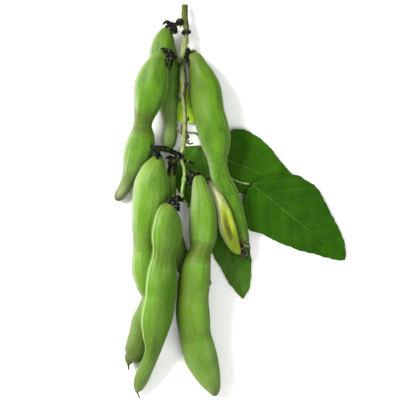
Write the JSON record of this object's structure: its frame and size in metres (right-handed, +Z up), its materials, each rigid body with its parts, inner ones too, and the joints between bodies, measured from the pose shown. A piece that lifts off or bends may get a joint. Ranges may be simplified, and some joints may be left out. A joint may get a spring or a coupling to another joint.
{
  "type": "velvet bean pod",
  "caption": "Cut hanging truss of plump green velvet bean pods on one slender stem, with dry husks at the pods' tops and a three-part leaf behind, laid flat.",
  "frame": {"origin": "middle of the truss's footprint, on the table it lies on", "axes": "+Z up from the table; +Y along the truss, from the tips of the pods to the cut end of the stem; +X across it, towards the leaf"},
  "size_m": [0.1306, 0.2215, 0.0266],
  "materials": {
    "pod_skin": "satin, with a short pale down",
    "shrivelled_skin": "dull, drying",
    "bark": "matte",
    "dry_husk": "matte, dry",
    "leaf_green": "satin",
    "young_green": "satin"
  },
  "bodies": {
    "root": {"stem": "bark", "pod_top_back": "pod_skin", "husk_top_back": "dry_husk", "pod_top_left": "pod_skin", "husk_top_left": "dry_husk", "pod_middle_left": "pod_skin", "husk_middle_left": "dry_husk", "pod_front_left": "pod_skin", "husk_front_left": "dry_husk", "pod_front_right": "pod_skin", "husk_front_right": "dry_husk", "pod_right": "pod_skin", "husk_right": "dry_husk", "pod_young": "shrivelled_skin", "husk_young": "dry_husk", "pod_back": "pod_skin", "husk_back": "dry_husk", "leaf_stalk": "bark", "leaflet_upper": "leaf_green", "leaflet_tip": "leaf_green", "leaflet_lower": "leaf_green", "young_leaf": "young_green"}
  },
  "joints": []
}
